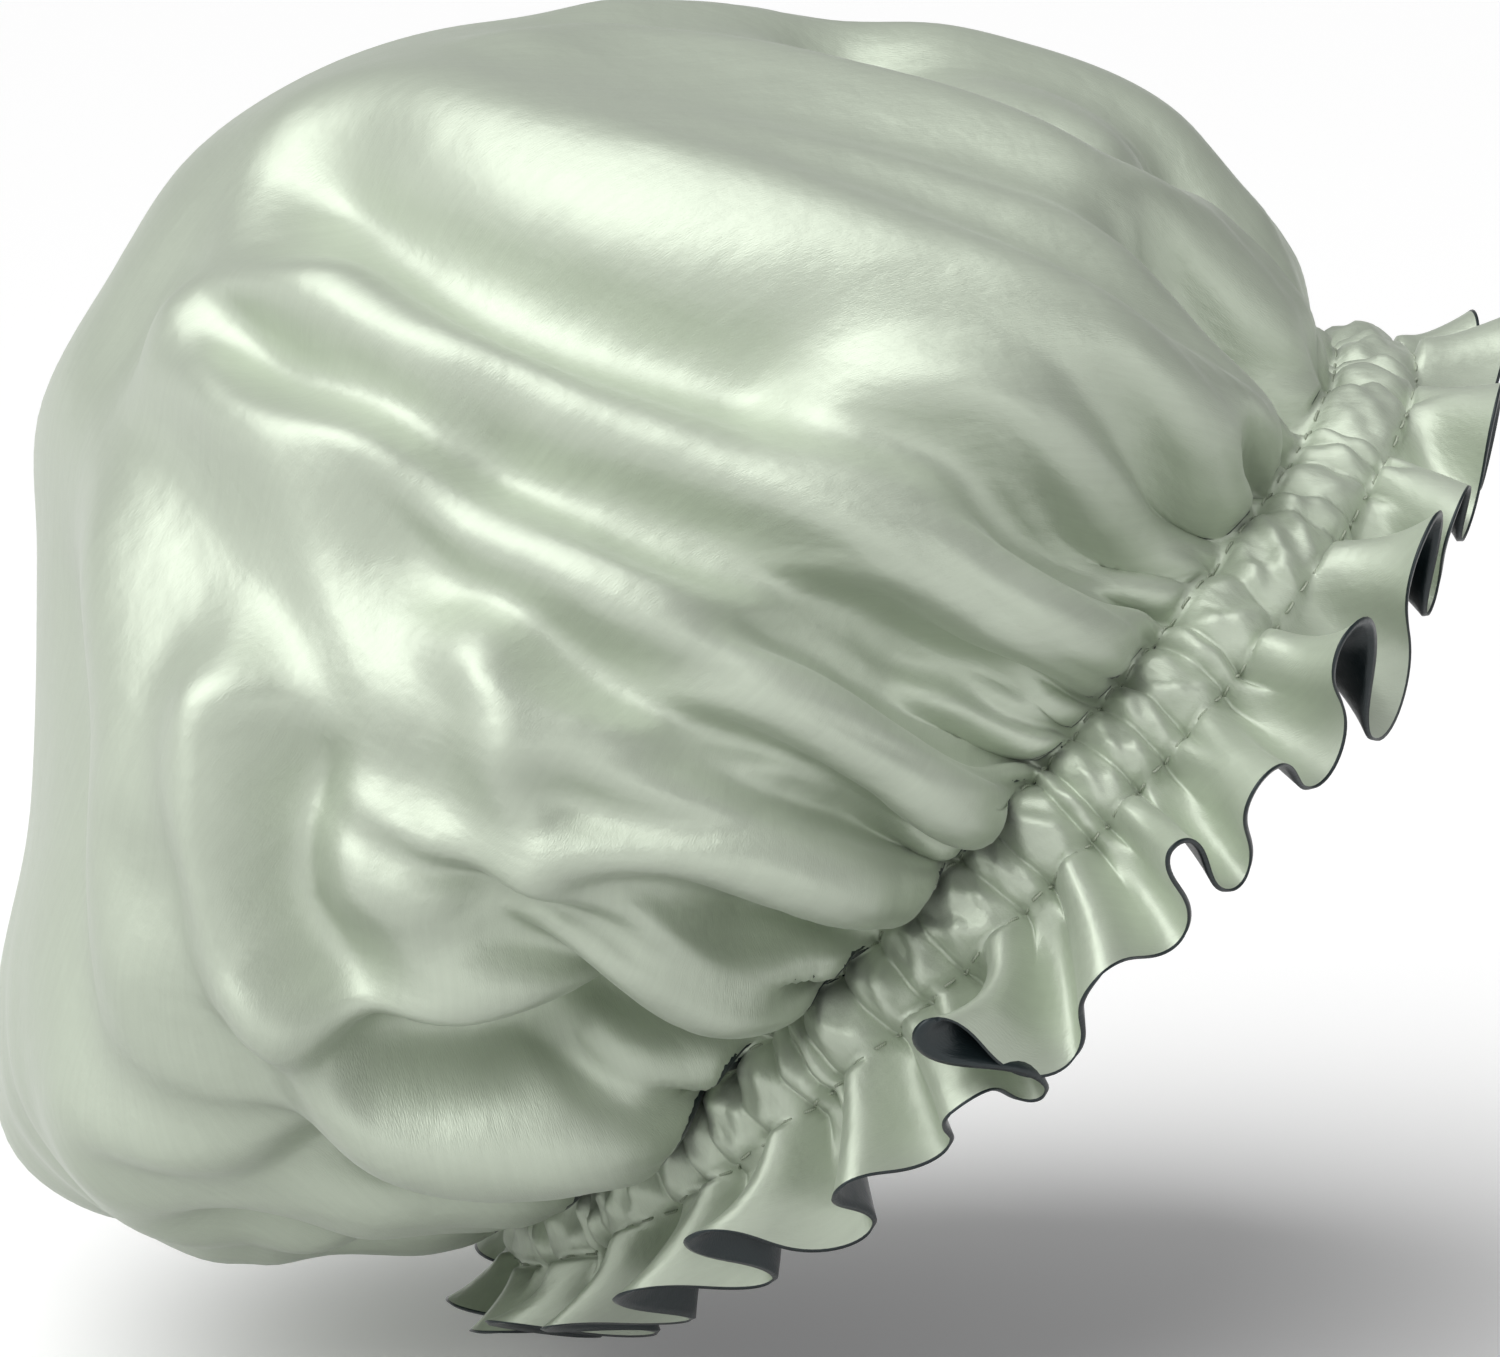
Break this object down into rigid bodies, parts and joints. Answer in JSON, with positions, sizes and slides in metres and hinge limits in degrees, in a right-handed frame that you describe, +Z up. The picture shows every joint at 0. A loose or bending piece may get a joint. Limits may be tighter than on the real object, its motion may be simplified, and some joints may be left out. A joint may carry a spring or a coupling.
{
  "type": "hair bonnet",
  "caption": "Double-layer satin hair bonnet: a baggy crown gathered on an elastic in a stitched casing, with a fluted ruffle round the head opening.",
  "frame": {"origin": "middle of the head opening, in the plane of the crown-side row of stitches", "axes": "+Z up as worn, +X towards the forehead, -Y towards the side that the picture shows"},
  "size_m": [0.295, 0.2854, 0.2661],
  "materials": {
    "outer_satin": "satin",
    "lining_satin": "satin",
    "elastic": "matt",
    "sage_thread": "satin",
    "dark_thread": "satin"
  },
  "bodies": {
    "root": {"outer_crown": "outer_satin", "outer_casing_band": "outer_satin", "outer_ruffle": "outer_satin", "lining_crown": "lining_satin", "lining_casing_band": "lining_satin", "lining_ruffle": "lining_satin", "elastic_band": "elastic", "elastic_join_stitch": "elastic", "crown_side_stitch_row": "sage_thread", "ruffle_side_stitch_row": "sage_thread", "hem_seam_thread": "dark_thread", "turning_gap_stitch": "dark_thread"}
  },
  "joints": []
}
